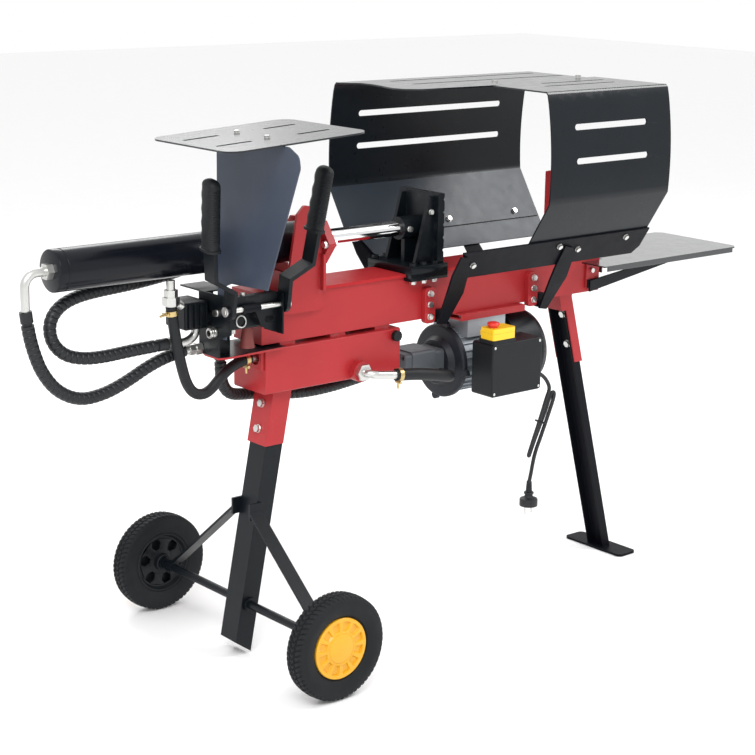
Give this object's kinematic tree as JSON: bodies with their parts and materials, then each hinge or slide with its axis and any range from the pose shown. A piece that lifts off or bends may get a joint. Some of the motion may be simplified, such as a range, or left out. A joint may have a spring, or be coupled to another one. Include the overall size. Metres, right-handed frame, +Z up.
{
  "type": "log splitter",
  "caption": "Horizontal electric-hydraulic log splitter with two-hand levers, log cradle, curved side guards, outfeed table and transport wheels.",
  "frame": {"origin": "on the ground under the middle of the machine's length and width", "axes": "+X along the beam from the cylinder to the outfeed table, -Y to the operator's side, +Z up"},
  "size_m": [1.7374, 0.628, 1.0631],
  "materials": {
    "frame_red": "semi-gloss enamel",
    "frame_black": "satin powder coat",
    "sheet_black": "satin powder coat",
    "zinc": "zinc plated",
    "gold_zinc": "yellow passivated",
    "chrome": "polished",
    "steel": "machined",
    "cast_grey": "painted casting",
    "motor_grey": "painted casting",
    "tyre": "matt",
    "rim_yellow": "moulded",
    "black_plastic": "moulded",
    "yellow_plastic": "moulded",
    "red_plastic": "moulded",
    "green_plastic": "moulded",
    "hose_rubber": "spiral wrapped",
    "cord_rubber": "matt"
  },
  "bodies": {
    "frame": {"spool_boot": "frame_red", "beam": "frame_red", "cylinder_mount": "frame_red", "oil_tank": "frame_red", "front_bracket": "frame_red", "beam_brackets": "frame_red", "wedge": "frame_red", "front_leg": "frame_black", "axle_frame": "frame_black", "rear_leg": "frame_black", "cradle_plates": "frame_black", "cradle_arms": "frame_black", "table_struts": "frame_black", "barrel": "frame_black", "gland": "frame_black", "valve_bracket": "frame_black", "valve_body": "frame_black", "fan_cover": "frame_black", "guard_near": "sheet_black", "guard_far": "sheet_black", "outfeed_table": "sheet_black", "hand_shield": "sheet_black", "control_tray": "sheet_black", "lever_pin": "zinc", "hose_fittings": "zinc", "frame_bolts": "zinc", "hose_clamps": "gold_zinc", "pump_body": "cast_grey", "motor_body": "motor_grey", "motor_bell": "motor_grey", "switch_box": "black_plastic", "switch_housing": "yellow_plastic", "hose_cap_end": "hose_rubber", "hose_rod_end": "hose_rubber", "hose_return": "hose_rubber", "hose_pressure": "hose_rubber", "hose_suction": "hose_rubber", "power_cord": "cord_rubber", "cord_hank": "cord_rubber", "plug": "cord_rubber"},
    "wheel_near": {"tyre_near": "tyre", "rim_near": "rim_yellow"},
    "wheel_far": {"tyre_far": "tyre", "rim_far": "rim_yellow"},
    "ram": {"piston_rod": "chrome", "piston": "steel", "pusher_slide": "frame_black", "push_plate": "frame_black"},
    "left_lever": {"lever_left": "frame_black", "grip_left": "black_plastic"},
    "right_lever": {"lever_right": "frame_black", "grip_right": "black_plastic"},
    "spool": {"valve_spool": "steel"},
    "rotor": {"motor_rotor": "steel", "pump_drive_gear": "steel"},
    "idler": {"pump_idler_gear": "steel"},
    "lid": {"switch_lid": "yellow_plastic"},
    "stop": {"stop_knob": "red_plastic"},
    "start": {"start_button": "green_plastic"},
    "cap": {"filler_cap": "black_plastic"}
  },
  "joints": [
    {"name": "wheel_near_spin", "type": "hinge", "parent": "frame", "child": "wheel_near", "pos_m": [-0.413, -0.288, 0.1], "axis": [0, 1, 0], "continuous": true},
    {"name": "wheel_far_spin", "type": "hinge", "parent": "frame", "child": "wheel_far", "pos_m": [-0.413, 0.288, 0.1], "axis": [0, 1, 0], "continuous": true},
    {"name": "ram_slide", "type": "slide", "parent": "frame", "child": "ram", "axis": [1, 0, 0], "range_m": [-0.11, 0.31]},
    {"name": "left_lever_pivot", "type": "hinge", "parent": "frame", "child": "left_lever", "pos_m": [-0.515, -0.108, 0.698], "axis": [1, 0, 0], "range_deg": [0, 24], "stiffness_Nm_per_rad": 8, "springref_deg": -2.86},
    {"name": "right_lever_pivot", "type": "hinge", "parent": "frame", "child": "right_lever", "pos_m": [-0.395, -0.108, 0.698], "axis": [1, 0, 0], "range_deg": [0, 24], "stiffness_Nm_per_rad": 8, "springref_deg": -2.86},
    {"name": "spool_slide", "type": "slide", "parent": "frame", "child": "spool", "axis": [0, 0, -1], "range_m": [0, 0.008]},
    {"name": "motor_spin", "type": "hinge", "parent": "frame", "child": "rotor", "pos_m": [0.157, 0, 0.503], "axis": [1, 0, 0], "continuous": true},
    {"name": "idler_spin", "type": "hinge", "parent": "frame", "child": "idler", "pos_m": [0.007, 0, 0.521], "axis": [1, 0, 0], "continuous": true},
    {"name": "lid_hinge", "type": "hinge", "parent": "frame", "child": "lid", "pos_m": [0.121, -0.1075, 0.582], "axis": [-1, 0, 0], "range_deg": [0, 100]},
    {"name": "stop_press", "type": "slide", "parent": "lid", "child": "stop", "axis": [0, 0, -1], "range_m": [0, 0.003], "stiffness_N_per_m": 800, "springref_m": -0.001},
    {"name": "start_press", "type": "slide", "parent": "frame", "child": "start", "axis": [0, 0, -1], "range_m": [0, 0.002], "stiffness_N_per_m": 800, "springref_m": -0.001},
    {"name": "filler_cap_turn", "type": "hinge", "parent": "frame", "child": "cap", "pos_m": [-0.083, -0.054, 0.587], "axis": [0, -1, 0], "range_deg": [0, 300]}
  ],
  "couplings": [
    {"joint": "idler_spin", "follows": "motor_spin", "ratio": -1},
    {"joint": "spool_slide", "follows": "right_lever_pivot", "m_per_rad": 0.0183}
  ]
}
